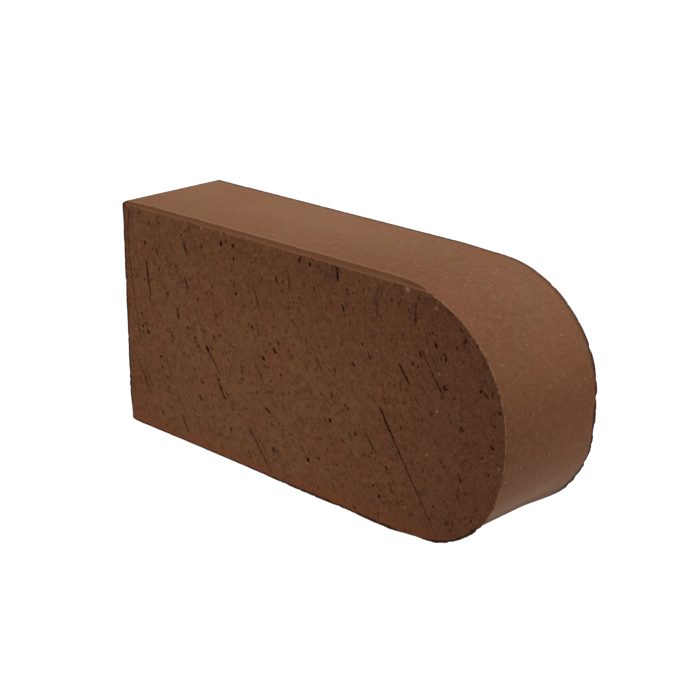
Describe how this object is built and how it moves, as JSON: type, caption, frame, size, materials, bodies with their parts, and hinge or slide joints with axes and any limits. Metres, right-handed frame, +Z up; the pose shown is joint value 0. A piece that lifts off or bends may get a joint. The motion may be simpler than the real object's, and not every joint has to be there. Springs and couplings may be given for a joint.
{
  "type": "shaped stove brick",
  "caption": "Solid fired-clay stove brick with one full half-round end, standing on its narrow long side, with a pressed bevel beside its front cut face.",
  "frame": {"origin": "centre of the bounding box's base, on the narrow long side that the brick stands on", "axes": "+X along the brick towards its half-round end, -Y out of the front cut face, +Z up"},
  "size_m": [0.25, 0.065, 0.12],
  "materials": {
    "fired_clay": "matte"
  },
  "bodies": {
    "root": {"brick_body": "fired_clay"}
  },
  "joints": []
}
